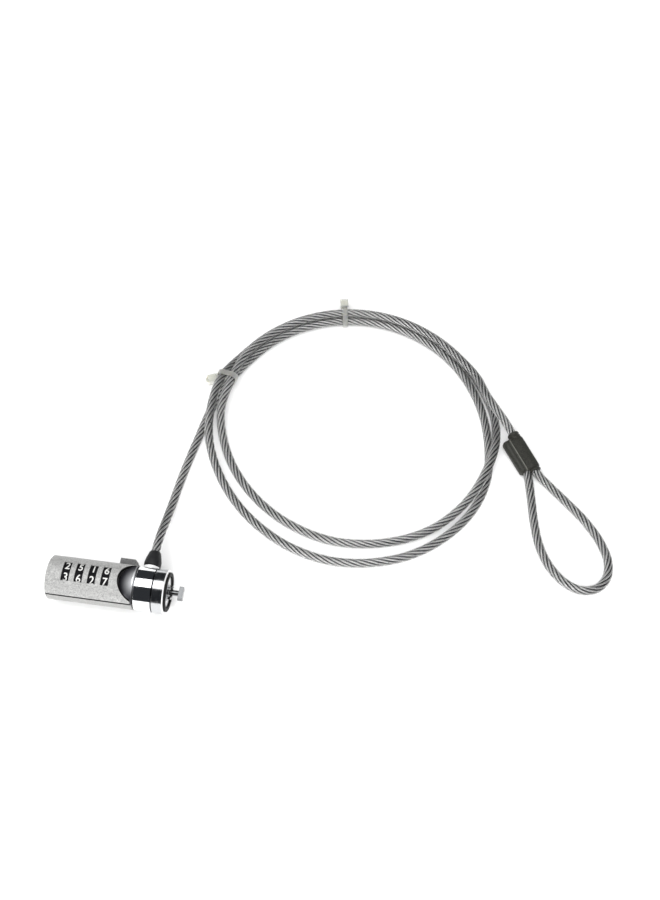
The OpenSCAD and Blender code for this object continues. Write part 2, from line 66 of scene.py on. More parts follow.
def make_camera():
    """The photograph's view: from above and in front of the coil, a little to the right."""
    data = bpy.data.cameras.new("camera")
    data.lens = 48
    data.sensor_width = 36
    data.clip_start = 0.01
    camera = bpy.data.objects.new("camera", data)
    place = Vector((101.7, -201.6, 500.6)) * MM
    target = Vector((60.4, 89.1, -10)) * MM
    camera.location = place
    camera.rotation_euler = (target - place).to_track_quat("-Z", "Y").to_euler()
    bpy.context.scene.collection.objects.link(camera)
    bpy.context.scene.camera = camera


make_camera()


# ---- meshes ----------------------------------------------------------------


def add_object(name, vertices, faces, smooth=True):
    """A mesh object from plain lists, in metres."""
    mesh = bpy.data.meshes.new(name)
    mesh.from_pydata([tuple(v) for v in vertices], [], [tuple(f) for f in faces])
    mesh.validate()
    mesh.polygons.foreach_set("use_smooth", [smooth] * len(mesh.polygons))
    made = bpy.data.objects.new(name, mesh)
    bpy.context.scene.collection.objects.link(made)
    return made


def lengths_along(path):
    """The distance from a path's start to each of its points."""
    return np.concatenate([[0], np.cumsum(np.linalg.norm(np.diff(path, axis=0), axis=1))])


def tube_faces(rings, count):
    """Faces of a closed tube through rings of count vertices, with a face over each end."""
    faces = []
    for i in range(rings - 1):
        near, far = i * count, (i + 1) * count
        for j in range(count):
            after = (j + 1) % count
            faces.append((near + j, near + after, far + after, far + j))
    faces.append(tuple(range(count - 1, -1, -1)))
    faces.append(tuple((rings - 1) * count + j for j in range(count)))
    return faces


def smooth_path(points, step):
    """Points a step apart on a smooth curve through the given ones."""
    points = np.array(points, float)
    chords = np.diff(points, axis=0)
    gaps = np.linalg.norm(chords, axis=1)
    slopes = chords / gaps[:, None]
    tangents = np.empty_like(points)
    before, after = gaps[:-1, None], gaps[1:, None]
    tangents[1:-1] = (slopes[:-1] * after + slopes[1:] * before) / (before + after)
    tangents[0], tangents[-1] = slopes[0], slopes[-1]
    dense = []
    for i, gap in enumerate(gaps):
        for t in np.linspace(0, 1, 24, endpoint=False):
            dense.append(
                (1 + 2 * t) * (1 - t) ** 2 * points[i]
                + t * (1 - t) ** 2 * gap * tangents[i]
                + t * t * (3 - 2 * t) * points[i + 1]
                + t * t * (t - 1) * gap * tangents[i + 1]
            )
    dense.append(points[-1])
    dense = np.array(dense)
    along = lengths_along(dense)
    wanted = np.linspace(0, along[-1], round(along[-1] / step) + 1)
    return np.stack([np.interp(wanted, along, dense[:, k]) for k in range(3)], 1)


def path_frames(path):
    """Two directions across a path at each of its points, carried along without twist."""
    tangents = np.gradient(path, axis=0)
    tangents /= np.linalg.norm(tangents, axis=1)[:, None]
    side = np.cross(tangents[0], (0, 0, 1))
    sides = []
    for tangent in tangents:
        side = side - (side @ tangent) * tangent
        side /= np.linalg.norm(side)
        sides.append(side)
    sides = np.array(sides)
    return sides, np.cross(tangents, sides)


def sweep(name, path, radii, turns_per_metre=0.0):
    """A closed tube whose section has the given radii round it, twisted as it goes along the path."""
    count = len(radii)
    sides, ups = path_frames(path)
    along = lengths_along(path)
    turned = along * turns_per_metre
    angles = 2 * np.pi * (np.arange(count)[None, :] / count + turned[:, None])
    radii = np.array(radii)[None, :]
    vertices = (
        path[:, None, :]
        + (radii * np.cos(angles))[..., None] * sides[:, None, :]
        + (radii * np.sin(angles))[..., None] * ups[:, None, :]
    ).reshape(-1, 3)
    made = add_object(name, vertices, tube_faces(len(path), count))
    # The map runs once round the tube, and along it in metres.
    layer = made.data.uv_layers.new(name="round_and_along")
    for face in made.data.polygons:
        corners = [(made.data.loops[k].vertex_index, k) for k in face.loop_indices]
        places = {v % count for v, _ in corners}
        wraps = 0 in places and count - 1 in places
        for v, k in corners:
            u = v % count
            if wraps and u == 0:
                u = count
            layer.data[k].uv = (u / count, along[v // count])
    return made


# ---- the cable's route: the same points as the CAD model's ------------------

CABLE_D = 4.2 * MM
FLOOR_Z = -7.9
RING_CENTRE = (68.8, 101)
LEAD = [
    (-10.4, 8.8, 0), (-10.4, 20, 0), (-10.3, 28, -1.4), (-9.9, 37, -4.2),
    (-9.4, 47, -6.9), (-8.5, 58, -7.9), (-6.8, 71, -7.9), (-4.4, 85.5, -7.9),
]
# Clockwise angle from the ring's left, radius and rise above the table.
COIL = [
    (0, 70.5, 0), (15, 67, 0.9), (30, 65, 0.9), (120, 65, 0.9), (150, 65.6, 0),
    (165, 66.4, 0), (180, 68.2, 0), (195, 71.4, 0), (210, 73.2, 0), (225, 73.6, 0),
    (240, 73.5, 0), (270, 71.8, 0), (300, 69, 0), (315, 68.4, 0.4), (330, 68.6, 2),
    (345, 69.3, 4), (360, 69.6, 4.6), (375, 70.2, 4.4), (390, 69.7, 0.9),
    (480, 69.7, 0.9), (510, 70.4, 0), (525, 71.6, 0.3), (540, 71.4, 3.8),
    (555, 70, 4.8), (570, 69, 3.4), (585, 67.2, 0.8), (600, 64.9, 0),
    (615, 62.9, 0), (630, 61.6, 0), (645, 60.2, 0), (660, 59.5, 0), (675, 59.6, 0),
    (690, 60.6, 0), (705, 62.4, 0.6), (720, 64.6, 3.4), (735, 64.8, 5.3),
    (750, 66.8, 5.1), (765, 67.3, 4.6), (840, 67.3, 4.6), (855, 67.6, 4.5),
    (870, 69.5, 4.5),
]
COIL_STEP = 15
EXIT = [(132.8, 128.2, -2.8), (138.7, 119.5, -2.4), (143.8, 114.1, -4.3)]
SLEEVE_IN = (148.2, 108.8, -6.8)
SLEEVE_OUT = (160.6, 89.4, -6.8)
EYE = [
    (163, 86.7, -7), (167.8, 82.6, -7.7), (176.8, 74.6, -7.9), (186.1, 65.4, -7.9),
    (193.1, 55.6, -7.9), (196.5, 47.5, -7.9), (196.5, 39.2, -7.9), (192.4, 32.9, -7.9),
    (185.2, 30.7, -7.9), (177, 33.6, -7.9), (170, 40.4, -7.9), (164.8, 50, -7.9),
    (161.6, 62, -7.9), (159.5, 74, -7.6), (157.7, 83.4, -6.9),
]
BARREL_GAP = 4.4
TAIL_LENGTH = 13
SLEEVE_DIR = (Vector(SLEEVE_OUT) - Vector(SLEEVE_IN)).normalized()
SLEEVE_SIDE = Vector((-SLEEVE_DIR.y, SLEEVE_DIR.x, 0))


def coil_value(angle, column):
    return float(np.interp(angle, [c[0] for c in COIL], [c[column] for c in COIL]))


def coil_point(angle):
    radius = coil_value(angle, 1)
    turned = math.radians(angle)
    return (
        RING_CENTRE[0] - radius * math.cos(turned),
        RING_CENTRE[1] + radius * math.sin(turned),
        FLOOR_Z + coil_value(angle, 2),
    )


def cable_path():
    coil = [coil_point(a) for a in range(0, COIL[-1][0] + 1, COIL_STEP)]
    tail_mouth = Vector(SLEEVE_OUT) - BARREL_GAP * SLEEVE_SIDE
    tail_end = tail_mouth - TAIL_LENGTH * SLEEVE_DIR
    points = LEAD + coil + EXIT + [SLEEVE_IN, SLEEVE_OUT] + EYE + [tuple(tail_mouth), tuple(tail_end)]
    path = smooth_path(np.array(points) * MM, 1.1 * MM)
    path[:, 2] = np.maximum(path[:, 2], TABLE_Z + CABLE_D / 2)
    return path


STRANDS = 6
LAY_LENGTH = 25 * MM
ROPE_R = 1.74 * MM
# How deep the gaps between the strands reach, as a share of the rope's radius.
GAP_REACH = 0.74


def rope_section():
    """Radii round the rope: six round strands, with the vinyl reaching some way into the gaps."""
    per_strand = 8
    strand_r = ROPE_R / 3
    centre_r = ROPE_R - strand_r
    radii = []
    for j in range(STRANDS * per_strand):
        turned = 2 * math.pi / STRANDS * ((j % per_strand) / per_strand - 0.5)
        reach = strand_r**2 - (centre_r * math.sin(turned)) ** 2
        radii.append(max(centre_r * math.cos(turned) + math.sqrt(max(reach, 0)), ROPE_R * GAP_REACH))
    return radii


cable_route = cable_path()
rope = sweep("wire_rope", cable_route, rope_section(), 1 / LAY_LENGTH)
vinyl = sweep("vinyl_cover", cable_route[::2], [CABLE_D / 2] * 16)


# ---- the sleeve that closes the eye -----------------------------------------


def sleeve_point(along, across, up):
    return (Vector(SLEEVE_IN) + SLEEVE_DIR * along + SLEEVE_SIDE * across + Vector((0, 0, up))) * MM


def loft(rings):
    """Vertices and faces of a closed solid through rings of equal length."""
    vertices = [v for ring in rings for v in ring]
    return vertices, tube_faces(len(rings), len(rings[0]))


BARREL_R = 3.2
# Where the parting ridge runs, across the sleeve from the main cable's barrel.
RIDGE_AT = -0.93 * BARREL_GAP
RIDGE_RISE, RIDGE_W = 0.3, 0.2
# The shallow groove beside the ridge.
GROOVE_OFF, GROOVE_W = 0.75, 0.5
# Power of the section's curve: below 1 is squarer than an ellipse.
SECTION_POWER = 2 / 2.9


def sleeve_body_ring(along, inset):
    """One section of the moulded sleeve: a soft-cornered oblong with a parting ridge over the tail."""
    half_w = BARREL_GAP / 2 + BARREL_R - inset
    half_t = BARREL_R - inset
    ring = []
    count = 96
    for j in range(count):
        turned = 2 * math.pi * j / count
        c, s = math.cos(turned), math.sin(turned)
        across = -BARREL_GAP / 2 + half_w * math.copysign(abs(c) ** SECTION_POWER, c)
        up = half_t * math.copysign(abs(s) ** SECTION_POWER, s)
        offset = across - RIDGE_AT
        ridge = RIDGE_RISE * math.exp(-((offset / RIDGE_W) ** 2))
        groove = RIDGE_RISE * math.exp(-(((offset + GROOVE_OFF) / GROOVE_W) ** 2))
        raised = (ridge - groove - RIDGE_RISE) * abs(s)
        ring.append(sleeve_point(along, across, up + math.copysign(1, up) * raised))
    return ring


def nub_ring(along, radius):
    return [
        sleeve_point(along, radius * math.cos(a), radius * math.sin(a))
        for a in np.linspace(0, 2 * math.pi, 40, endpoint=False)
    ]


def join(name, parts):
    """One object from (vertices, faces) pairs."""
    vertices, faces = [], []
    for part_vertices, part_faces in parts:
        start = len(vertices)
        vertices += part_vertices
        faces += [tuple(k + start for k in face) for face in part_faces]
    return add_object(name, vertices, faces)


def make_sleeve():
    length = (Vector(SLEEVE_OUT) - Vector(SLEEVE_IN)).length
    start, end = 3.0, length - 1.2
    body = [(start, 1.3), (start + 0.12, 0.7), (start + 0.5, 0.25), (start + 1.1, 0.03), (start + 4, 0)]
    body += [(end - 4, 0), (end - 1.1, 0.03), (end - 0.5, 0.25), (end - 0.12, 0.7), (end, 1.3)]
    nub = [
        (0.05, 2.15), (0.05, 2.45), (0.2, 2.75), (0.6, 2.93), (1.1, 2.93), (1.35, 2.7),
        (1.75, 2.7), (2.0, 2.93), (3.3, 2.93), (3.8, 2.9),
    ]
    mouth = [(end - 0.6, 2.75), (end + 0.3, 2.72), (end + 0.5, 2.93), (end + 1.0, 2.93), (end + 1.15, 2.75)]
    mouth += [(end + 1.18, 2.2)]
    return join(
        "eye_sleeve",
        [
            loft([sleeve_body_ring(*section) for section in body]),
            loft([nub_ring(*section) for section in nub]),
            loft([nub_ring(*section) for section in mouth]),
        ],
    )


sleeve = make_sleeve()


# ---- cable ties --------------------------------------------------------------

TIE_W = 2.6
TIE_T = 0.7
TIE_GAP = 0.15
HEAD_L, HEAD_H, HEAD_W = 5.2, 3.6, 4.2
# Distance from the ring's centre to the outer side of the straps.
STRAP_REACH = 72.9


def hull_outline(strands, grow):
    """Outline of a band round equal circles, as points in (radius, height), in mm."""
    centres = sorted(strands)
    middle = (sum(c[0] for c in centres) / len(centres), sum(c[1] for c in centres) / len(centres))
    centres.sort(key=lambda c: math.atan2(c[1] - middle[1], c[0] - middle[0]))
    radius = CABLE_D / MM / 2 + grow
    outline = []
    for k, centre in enumerate(centres):
        before, after = centres[k - 1], centres[(k + 1) % len(centres)]
        first = math.atan2(centre[1] - before[1], centre[0] - before[0]) - math.pi / 2
        last = math.atan2(after[1] - centre[1], after[0] - centre[0]) - math.pi / 2
        while last < first:
            last += 2 * math.pi
        for a in np.linspace(first, last, 12):
            outline.append((centre[0] + radius * math.cos(a), centre[1] + radius * math.sin(a)))
    return outline


def placer(centre, heading):
    """Turns (outward, height, sideways) from a centre, in mm, into the frame."""
    turned = math.radians(heading)
    outward = Vector((math.cos(turned), math.sin(turned), 0))
    sideways = Vector((-outward.y, outward.x, 0))

    def place(out, height, aside):
        return (Vector(centre) + outward * out + sideways * aside + Vector((0, 0, height))) * MM

    return place


def rounded_box(place, low, high, edge):
    """A box with softened edges, between two corners in (radius, height, sideways)."""
    work = bmesh.new()
    bmesh.ops.create_cube(work, size=1)
    low, high = Vector(low), Vector(high)
    for v in work.verts:
        v.co = Vector([(low[k] + high[k]) / 2 + v.co[k] * (high[k] - low[k]) for k in range(3)])
    bmesh.ops.bevel(work, geom=work.edges[:], offset=edge, segments=3, profile=0.5, affect="EDGES")
    vertices = [place(*v.co) for v in work.verts]
    work.verts.index_update()
    faces = [tuple(v.index for v in f.verts) for f in work.faces]
    work.free()
    return vertices, faces


def make_tie(name, angle, head_turn, head_drop):
    """A strap round the three strands, with its ratchet head lying outside the ring."""
    place = placer((*RING_CENTRE, 0), 180 - angle)
    strands = [
        (coil_value(angle + 360 * turn, 1), FLOOR_Z + coil_value(angle + 360 * turn, 2))
        for turn in range(3)
    ]
    inner, outer = hull_outline(strands, TIE_GAP), hull_outline(strands, TIE_GAP + TIE_T)
    soft = 0.16
    half = TIE_W / 2
    section = [
        (0, -half + soft), (soft, -half), (1 - soft, -half), (1, -half + soft),
        (1, half - soft), (1 - soft, half), (soft, half), (0, half - soft),
    ]
    band = []
    for (r0, z0), (r1, z1) in zip(inner, outer):
        band.append([place(r0 + (r1 - r0) * t, z0 + (z1 - z0) * t, y) for t, y in section])
    count, rings = len(section), len(band)
    vertices = [v for ring in band for v in ring]
    faces = [
        (
            i * count + j,
            i * count + (j + 1) % count,
            (i + 1) % rings * count + (j + 1) % count,
            (i + 1) % rings * count + j,
        )
        for i in range(rings)
        for j in range(count)
    ]
    parts = [(vertices, faces)]
    # The head starts at a foot on the strap's outer side, and may be turned from the strap's line.
    foot = place(strands[1][0] + CABLE_D / MM / 2 + 0.3, strands[1][1] - HEAD_H / 2, 0) / MM
    level = placer(foot, 180 - angle)
    turned = placer(foot - Vector((0, 0, head_drop)), 180 - angle + head_turn)
    start = 1.6 if head_drop else 1.0
    corner = 0.3
    neck = [(level, 0, half, 0.6), (level, 0.4, half + 0.1, 0.4), (turned, start, HEAD_W / 2 - 0.25, 0.15)]
    neck += [(turned, start + 0.5, HEAD_W / 2, 0)]
    parts.append(
        loft(
            [
                [
                    at(out, low, -wide + corner), at(out, low + corner, -wide),
                    at(out, HEAD_H - low - corner, -wide), at(out, HEAD_H - low, -wide + corner),
                    at(out, HEAD_H - low, wide - corner), at(out, HEAD_H - low - corner, wide),
                    at(out, low + corner, wide), at(out, low, wide - corner),
                ]
                for at, out, wide, low in neck
            ]
        )
    )
    # A hollow frame round the strap's slot, open at its outer end, with the pawl across it.
    first, end = start + 0.3, start + HEAD_L
    wall, plate = 0.75, 0.9
    top_low, top_high = (first, HEAD_H - plate, -HEAD_W / 2), (end - 0.9, HEAD_H, HEAD_W / 2)
    parts.append(rounded_box(turned, (first, 0, -HEAD_W / 2), (end - 0.5, plate, HEAD_W / 2), 0.3))
    parts.append(rounded_box(turned, top_low, top_high, 0.3))
    for side in (-1, 1):
        low, high = sorted((side * (HEAD_W / 2 - wall), side * HEAD_W / 2))
        parts.append(rounded_box(turned, (first, 0.2, low), (end, HEAD_H - 0.2, high), 0.3))
    parts.append(rounded_box(turned, (start + 1.2, 0.8, -1.3), (start + 3.2, 1.5, 1.3), 0.2))
    parts.append(rounded_box(turned, (start, 1.6, -half + 0.1), (end + 0.5, 2.3, half - 0.1), 0.12))
    # Teeth across the strap's end.
    for k in range(5):
        at = start + 3.2 + 0.5 * k
        parts.append(rounded_box(turned, (at, 2.2, -0.9), (at + 0.25, 2.45, 0.9), 0.06))
    return join(name, parts)


tie_top = make_tie("tie_top", 80, 0, 0)
tie_side = make_tie("tie_side", 17, 42, 4.1)

for piece, node in (
    (rope, "cable"), (vinyl, "cable"), (sleeve, "loop_ferrule"),
    (tie_top, "cable_tie_top"), (tie_side, "cable_tie_side"),
):
    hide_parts(node)
    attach(piece, "cable_set")


# ---- dial digits ---------------------------------------------------------------

STACK_Z = 0.45
DIAL_R = 8.75
DIGIT_H = 3.7
# A digit's height as a share of the font's size, and the angle from one digit to the next.
FONT_CAP = 0.71
DIGIT_STEP = 36
# The upper of the two digits in each window.
SHOWN_DIGITS = (2, 5, 1, 6)


def digit_shape(character):
    """A digit's solid outline in mm, upright and centred, sliced so that it can bend round a dial."""
    curve = bpy.data.curves.new("digit", "FONT")
    curve.body = character
    curve.size = DIGIT_H / FONT_CAP
    curve.offset = 0.05
    curve.extrude = 0.06
    curve.resolution_u = 6
    made = bpy.data.objects.new("digit", curve)
    bpy.context.scene.collection.objects.link(made)
    bpy.context.view_layer.update()
    work = bmesh.new()
    mesh = made.to_mesh()
    work.from_mesh(mesh)
    made.to_mesh_clear()
    bpy.data.objects.remove(made)
    bpy.data.curves.remove(curve)
    low = [min(v.co[k] for v in work.verts) for k in range(2)]
    high = [max(v.co[k] for v in work.verts) for k in range(2)]
    for v in work.verts:
        v.co.x -= (low[0] + high[0]) / 2
        v.co.y -= (low[1] + high[1]) / 2
    bmesh.ops.remove_doubles(work, verts=work.verts, dist=0.002)
    for cut in np.arange(-2.4, 2.5, 0.4):
        bmesh.ops.bisect_plane(
            work,
            geom=work.verts[:] + work.edges[:] + work.faces[:],
            plane_co=(0, cut, 0),
            plane_no=(0, 1, 0),
        )
    work.verts.index_update()
    shape = ([v.co.copy() for v in work.verts], [tuple(v.index for v in f.verts) for f in work.faces])
    work.free()
    return shape


def make_digits(number, shapes):
    """The ten digits of one dial, raised from its rim."""
    low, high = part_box(f"dial_{number}")
    middle_x = (low[0] + high[0]) / 2 / MM
    narrow = 0.9
    vertices, faces = [], []
    for step in range(10):
        points, polygons = shapes[(SHOWN_DIGITS[number - 1] + step) % 10]
        start = len(vertices)
        for p in points:
            turned = p.y / DIAL_R - math.radians(DIGIT_STEP * (step - 0.5))
            radius = DIAL_R + 0.01 + p.z
            vertices.append(
                Vector(
                    (
                        middle_x + p.x * narrow,
                        radius * math.sin(turned),
                        STACK_Z + radius * math.cos(turned),
                    )
                )
                * MM
            )
        faces += [tuple(k + start for k in polygon) for polygon in polygons]
    digits = add_object(f"digits_{number}", vertices, faces, smooth=False)
    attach(digits, f"dial_{number}_set")
    return digits


digit_shapes = [digit_shape(str(k)) for k in range(10)]
digit_rings = [make_digits(k, digit_shapes) for k in range(1, 5)]


# ---- materials -----------------------------------------------------------------


# Height of the seam between the cover and the housing, the collar's front, and the cover's round scoop.
SEAM_Z = 2.6
COLLAR_FRONT_X = -6.4
SCOOP_X = -13.3
SCOOP_R = 9.1
SCOOP_CENTRE, ROUND_Z = (SCOOP_X, 0, 0), (1, 1, 0)
CHROME_TINT = (0.86, 0.87, 0.88)


class Material:
    """A Principled material under construction, in object coordinates of 1 mm."""

    def __init__(self, name, **values):
        self.made = bpy.data.materials.new(name)
        self.made.use_nodes = True
        self.tree = self.made.node_tree
        self.shader = self.tree.nodes["Principled BSDF"]
        for key, value in values.items():
            socket = self.shader.inputs[key.replace("_", " ")]
            socket.default_value = (*value, 1) if socket.type == "RGBA" else value
        coordinates = self.tree.nodes.new("ShaderNodeTexCoord")
        scaled = self.node("ShaderNodeMapping", Vector=coordinates.outputs["Object"])
        scaled.inputs["Scale"].default_value = (1 / MM,) * 3
        self.place = scaled.outputs["Vector"]
        self.normal = None

    def node(self, kind, settings=None, **inputs):
        made = self.tree.nodes.new(kind)
        for key, value in (settings or {}).items():
            setattr(made, key, value)
        for key, value in inputs.items():
            socket = made.inputs[key.replace("_", " ")]
            if isinstance(value, bpy.types.NodeSocket):
                self.tree.links.new(value, socket)
            else:
                socket.default_value = value
        return made

    def stretched(self, scale):
        made = self.node("ShaderNodeMapping", Vector=self.place)
        made.inputs["Scale"].default_value = scale
        return made.outputs["Vector"]

    def noise(self, per_mm, detail=3.0, place=None, roughness=0.55):
        made = self.node(
            "ShaderNodeTexNoise",
            Vector=place or self.place,
            Scale=per_mm,
            Detail=detail,
            Roughness=roughness,
        )
        return made.outputs["Fac"]

    def ranged(self, value, low, high, at_low=0.0, at_high=1.0):
        made = self.node("ShaderNodeMapRange", Value=value)
        made.inputs["From Min"].default_value = at_low
        made.inputs["From Max"].default_value = at_high
        made.inputs["To Min"].default_value = low
        made.inputs["To Max"].default_value = high
        return made.outputs["Result"]

    def mixed(self, share, first, second):
        """A colour between two, by share."""
        made = self.node("ShaderNodeMix", {"data_type": "RGBA"})
        self.tree.links.new(share, made.inputs["Factor"])
        for socket, colour in ((made.inputs[6], first), (made.inputs[7], second)):
            if isinstance(colour, bpy.types.NodeSocket):
                self.tree.links.new(colour, socket)
            else:
                socket.default_value = (*colour, 1)
        return made.outputs[2]

    def math(self, operation, first, second=0.0):
        made = self.node("ShaderNodeMath", {"operation": operation})
        for socket, value in zip(made.inputs, (first, second)):
            if isinstance(value, bpy.types.NodeSocket):
                self.tree.links.new(value, socket)
            else:
                socket.default_value = value
        return made.outputs[0]

    def soft_edges(self, radius):
        """Rounds the shading of sharp edges, so that they catch the light."""
        made = self.node("ShaderNodeBevel", {"samples": 6}, Radius=radius * MM)
        self.normal = made.outputs["Normal"]

    def bump(self, height, depth, strength=1.0):
        """Adds relief of that depth in mm."""
        made = self.node("ShaderNodeBump", Height=height, Distance=depth * MM, Strength=strength)
        if self.normal is not None:
            self.tree.links.new(self.normal, made.inputs["Normal"])
        self.normal = made.outputs["Normal"]

    def height(self):
        """Height above the lock's axis, in mm."""
        return self.node("ShaderNodeSeparateXYZ", Vector=self.place).outputs["Z"]

    def along_axis(self):
        """Position along the lock's axis, in mm in front of the seat face."""
        return self.node("ShaderNodeSeparateXYZ", Vector=self.place).outputs["X"]

    def distance(self, centre, across):
        """Distance in mm from a line through the centre; across picks the directions that count."""
        made = self.node("ShaderNodeVectorMath", {"operation": "SUBTRACT"})
        self.tree.links.new(self.place, made.inputs[0])
        made.inputs[1].default_value = centre
        flat = self.node("ShaderNodeVectorMath", {"operation": "MULTIPLY"})
        self.tree.links.new(made.outputs["Vector"], flat.inputs[0])
        flat.inputs[1].default_value = across
        length = self.node("ShaderNodeVectorMath", {"operation": "LENGTH"})
        self.tree.links.new(flat.outputs["Vector"], length.inputs[0])
        return length.outputs["Value"]

    def set(self, socket, value):
        self.tree.links.new(value, self.shader.inputs[socket])

    def finish(self):
        if self.normal is not None:
            self.set("Normal", self.normal)
        return self.made


def chrome():
    """Polished plate with faint wipe marks."""
    made = Material("chrome", Metallic=1.0)
    smudge = made.noise(0.35, 4)
    made.set("Roughness", made.ranged(smudge, 0.042, 0.114, 0.35, 0.7))
    dull = tuple(c * 0.96 for c in CHROME_TINT)
    made.set("Base Color", made.mixed(made.noise(0.2, 2), CHROME_TINT, dull))
    made.soft_edges(0.12)
    made.bump(made.noise(14, 2), 0.0006)
    return made.finish()


def collar_chrome():
    """Polished plate, but the short stub that carries the cable is made satin and painted near-white, a
    painted highlight.
    """
    made = Material("collar_chrome")
    smudge = made.noise(0.35, 4)
    # Painted highlight: the stub is made satin and painted near-white.
    stub = made.ranged(made.distance((0, 0, 0), (0, 1, 1)), 0, 1, 10.01, 10.05)
    made.set("Metallic", made.ranged(stub, 1, 0.3))
    plate = made.ranged(smudge, 0.04, 0.11, 0.35, 0.7)
    made.set("Roughness", made.math("ADD", plate, made.ranged(stub, 0, 0.4)))
    tone = made.mixed(stub, CHROME_TINT, (0.95, 0.95, 0.95))
    # Painted shade: a dark line painted on the collar where it meets the cap.
    joint_shade = made.ranged(made.along_axis(), 0, 1, COLLAR_FRONT_X - 0.36, COLLAR_FRONT_X - 0.28)
    made.set("Base Color", made.mixed(joint_shade, tone, (0.04, 0.04, 0.045)))
    made.soft_edges(0.12)
    made.bump(made.noise(14, 2), 0.0006)
    return made.finish()


def cap_plate():
    """Polished plate, a little duller than the collar, with its face and bevel made satin and painted
    near-white, a painted highlight.
    """
    made = Material("cap_chrome")
    smudge = made.noise(0.35, 4)
    # Painted highlight: the face and its bevel are made satin and painted near-white.
    face = made.ranged(made.along_axis(), 0, 1, -1.45, -1.38)
    made.set("Metallic", made.ranged(face, 1, 0.4))
    plate = made.ranged(smudge, 0.12, 0.24, 0.35, 0.7)
    made.set("Roughness", made.math("ADD", plate, made.ranged(face, 0, 0.3)))
    made.set("Base Color", made.mixed(face, (0.52, 0.53, 0.54), (0.9, 0.9, 0.9)))
    made.soft_edges(0.12)
    made.bump(made.noise(14, 2), 0.0006)
    return made.finish()


def flake_speck(made, cloud):
    """Metal flake in a sprayed finish, and the fine relief of it."""
    flake = made.noise(2.2, 4, roughness=0.8)
    patches = made.ranged(cloud, 0.6, 1, 0.3, 0.7)
    speck = made.math("MULTIPLY", made.ranged(flake, 0, 1, 0.38, 0.62), patches)
    return flake, speck


def housing_silver():
    """Satin silver below the seam and polished in the cove above it, with painted shade in the seam's ledge
    and on the part under the cover, and a painted shade-to-highlight gradient in the cove.
    """
    made = Material("housing_silver")
    cloud = made.noise(0.5, 4)
    flake, speck = flake_speck(made, cloud)
    height = made.height()
    polished = made.ranged(height, 0, 1, SEAM_Z - 0.02, SEAM_Z + 0.02)
    # Painted shade: a dark band in the seam's ledge, and dark on the part above the seam that lies under
    # the cover.
    ledge = made.ranged(made.math("ABSOLUTE", made.math("SUBTRACT", height, SEAM_Z)), 1, 0, 0.02, 0.05)
    rear = made.ranged(made.along_axis(), 1, 0, -15.8, -15.7)
    inward = made.distance(SCOOP_CENTRE, ROUND_Z)
    behind = made.ranged(inward, 0, 1, 8.55, 8.7)
    hidden = made.math("MULTIPLY", made.math("MULTIPLY", behind, rear), polished)
    dirt_and_painted_shade = made.math("MAXIMUM", ledge, hidden)
    silver = made.mixed(speck, (0.22, 0.22, 0.215), (0.42, 0.42, 0.41))
    # Painted shade and painted reflection: the cove is painted dark away from the collar, where it looks
    # into the scoop, and bright near the collar.
    shaded = made.math("POWER", made.ranged(inward, 1, 0, 2, 8.4), 1.8)
    cove = made.mixed(shaded, (0.025, 0.025, 0.03), (0.85, 0.86, 0.88))
    tone = made.mixed(polished, silver, cove)
    # The painted shade of the ledge and of the part under the cover is laid over the colour here.
    made.set("Base Color", made.mixed(dirt_and_painted_shade, tone, (0.015, 0.015, 0.015)))
    made.set("Metallic", made.ranged(polished, 0.35, 0.3))
    made.set("Roughness", made.ranged(polished, 0.42, 0.2))
    made.soft_edges(0.12)
    made.bump(flake, 0.004, 0.5)
    return made.finish()


def silver_paint(name, dark, light, roughness, metallic, seam=None):
    """A sprayed silver finish, with painted shade in the seam and on the scoop's wall."""
    made = Material(name, Metallic=metallic, Coat_Weight=0.1, Coat_Roughness=0.35)
    cloud = made.noise(0.5, 4)
    flake, speck = flake_speck(made, cloud)
    tone = made.mixed(speck, dark, light)
    if seam:
        # Painted shade: near-black below the seam's height and on the scoop's wall.
        tone = made.mixed(made.ranged(made.height(), 0, 1, *seam), (0.02, 0.02, 0.02), tone)
        wall = made.ranged(made.distance(SCOOP_CENTRE, ROUND_Z), 0, 1, SCOOP_R + 0.05, SCOOP_R + 0.2)
        tone = made.mixed(wall, (0.01, 0.01, 0.01), tone)
    made.set("Base Color", tone)
    made.set("Roughness", made.ranged(cloud, roughness - 0.05, roughness + 0.07, 0.3, 0.7))
    made.soft_edges(0.14)
    made.bump(flake, 0.02, 0.8)
    return made.finish()


def turned_metal(name, tint, roughness):
    """Machined metal with fine tool marks round X."""
    made = Material(name, Metallic=1.0)
    marks = made.noise(1, 3, made.stretched((9, 0.6, 0.6)))
    made.set("Base Color", made.mixed(marks, tuple(c * 0.8 for c in tint), tint))
    made.set("Roughness", made.ranged(marks, roughness * 0.8, roughness * 1.3, 0.3, 0.7))
    made.soft_edges(0.08)
    made.bump(marks, 0.003, 0.6)
    return made.finish()


def moulded(name, tint, roughness, grain=5.0, depth=0.012, edge=0.15, **values):
    """Moulded rubber or plastic with a fine skin."""
    made = Material(name, **values)
    skin = made.noise(grain, 4, roughness=0.6)
    patch = made.noise(0.4, 3)
    light = tuple(min(c * 1.5 + 0.004, 1) for c in tint)
    made.set("Base Color", made.mixed(patch, tint, light))
    made.set("Roughness", made.ranged(skin, roughness - 0.07, roughness + 0.08, 0.3, 0.7))
    made.soft_edges(edge)
    made.bump(skin, depth, 0.6)
    return made.finish()


